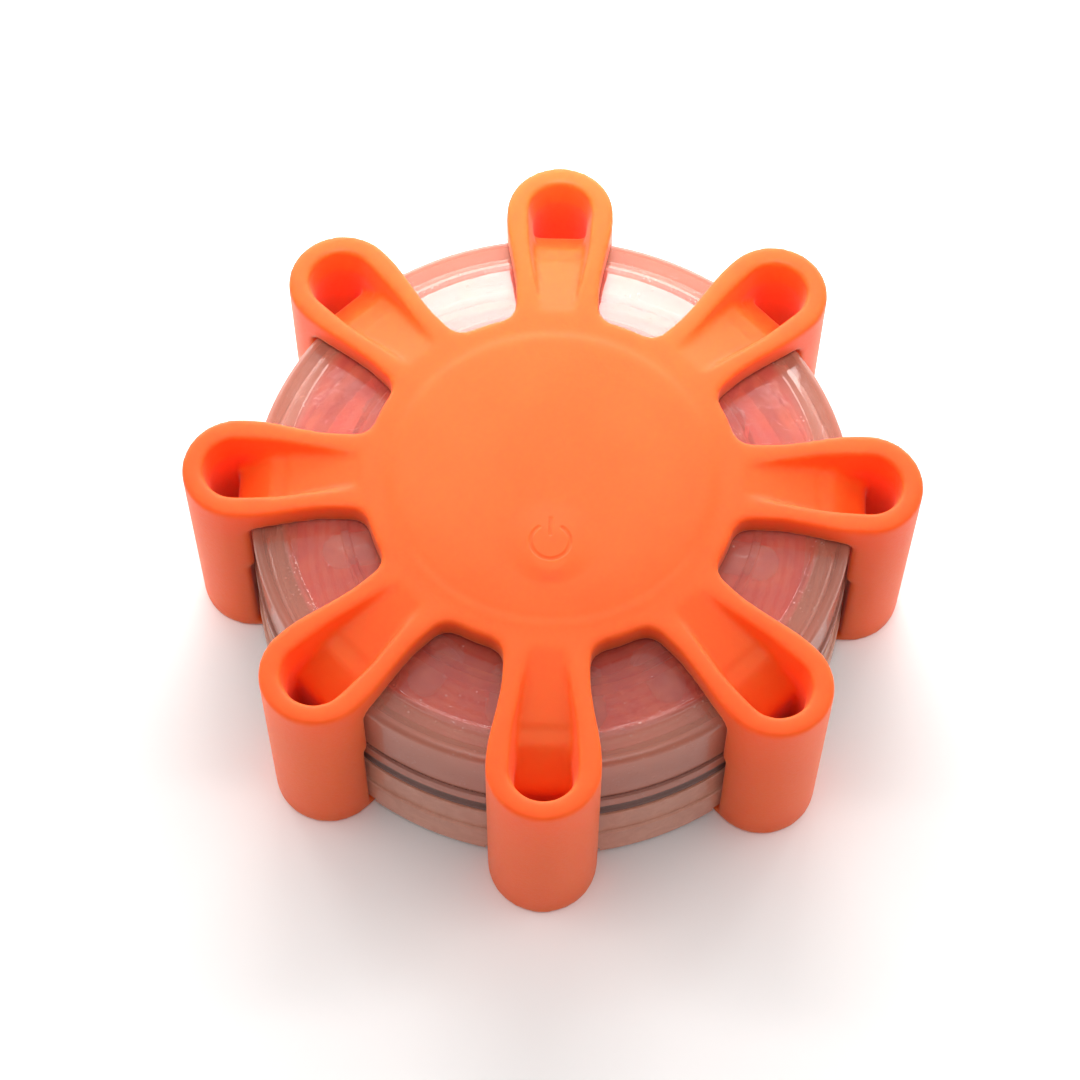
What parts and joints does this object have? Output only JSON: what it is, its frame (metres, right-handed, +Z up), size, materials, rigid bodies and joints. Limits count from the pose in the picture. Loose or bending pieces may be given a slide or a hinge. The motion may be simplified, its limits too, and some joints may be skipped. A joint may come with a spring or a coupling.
{
  "type": "led safety flare",
  "caption": "Disc-shaped LED road flare: clear lens and tinted base inside a star-shaped rubber bumper, with a press button, battery door, magnet and folding hook.",
  "frame": {"origin": "centre of the footprint, on the plane of the feet of the eight bumper arms and the magnet face", "axes": "+Z up out of the hub, -Y towards the power button, one bumper arm along each of +X, +Y, -X and -Y"},
  "size_m": [0.105, 0.105, 0.0364],
  "materials": {
    "rubber_orange": "soft moulded rubber, satin",
    "clear_lens": "clear moulded polycarbonate, glossy",
    "tinted_base": "tinted moulded polycarbonate, glossy",
    "seal_black": "black rubber, matt",
    "dark_plastic": "moulded plastic, fine matt texture",
    "hook_plastic": "tough moulded nylon",
    "screw_steel": "plated steel",
    "magnet_nickel": "nickel plated",
    "contact_nickel": "nickel plated spring steel",
    "cell_jacket": "printed foil jacket on a steel can, no lettering",
    "board_red": "red solder mask on fibreglass",
    "led_clear": "water-clear epoxy",
    "plunger_tan": "moulded plastic",
    "wire_red": "wire insulation",
    "wire_black": "wire insulation"
  },
  "bodies": {
    "housing": {"rubber_bumper": "rubber_orange", "top_lens": "clear_lens", "seal_ring": "seal_black", "base_housing": "tinted_base", "housing_screw_1": "screw_steel", "housing_screw_2": "screw_steel", "housing_screw_3": "screw_steel", "housing_screw_4": "screw_steel", "hook_pin": "screw_steel", "battery_holder": "dark_plastic", "battery_cell_1": "cell_jacket", "battery_cell_2": "cell_jacket", "battery_cell_3": "cell_jacket", "contact_positive": "contact_nickel", "contact_negative": "contact_nickel", "contact_bridge_left": "contact_nickel", "contact_bridge_right": "contact_nickel", "contact_spring_1": "contact_nickel", "contact_spring_2": "contact_nickel", "contact_spring_3": "contact_nickel", "circuit_board": "board_red", "side_led_01": "led_clear", "side_led_02": "led_clear", "side_led_03": "led_clear", "side_led_04": "led_clear", "side_led_05": "led_clear", "side_led_06": "led_clear", "side_led_07": "led_clear", "side_led_08": "led_clear", "side_led_09": "led_clear", "side_led_10": "led_clear", "side_led_11": "led_clear", "side_led_12": "led_clear", "side_led_13": "led_clear", "side_led_14": "led_clear", "side_led_15": "led_clear", "side_led_16": "led_clear", "switch_body": "dark_plastic", "controller_chip": "dark_plastic", "capacitor": "screw_steel", "resistor_1": "dark_plastic", "resistor_2": "dark_plastic", "lead_red": "wire_red", "lead_black": "wire_black"},
    "button": {"power_button": "rubber_orange", "switch_plunger": "plunger_tan"},
    "door": {"battery_door": "dark_plastic", "door_gasket": "seal_black", "door_screw_1": "screw_steel", "door_screw_2": "screw_steel", "magnet": "magnet_nickel"},
    "hook": {"hanging_hook": "hook_plastic"}
  },
  "joints": [
    {"name": "power_button_press", "type": "slide", "parent": "housing", "child": "button", "axis": [0, 0, -1], "range_m": [0, 0.0008], "stiffness_N_per_m": 900, "springref_m": -0.0003},
    {"name": "battery_door_lift", "type": "slide", "parent": "housing", "child": "door", "axis": [0, 0, -1], "range_m": [0, 0.03]},
    {"name": "hook_swing", "type": "hinge", "parent": "housing", "child": "hook", "pos_m": [-0.015, 0.03622, 0.0019], "axis": [0.9239, 0.3827, 0], "range_deg": [0, 180]}
  ]
}
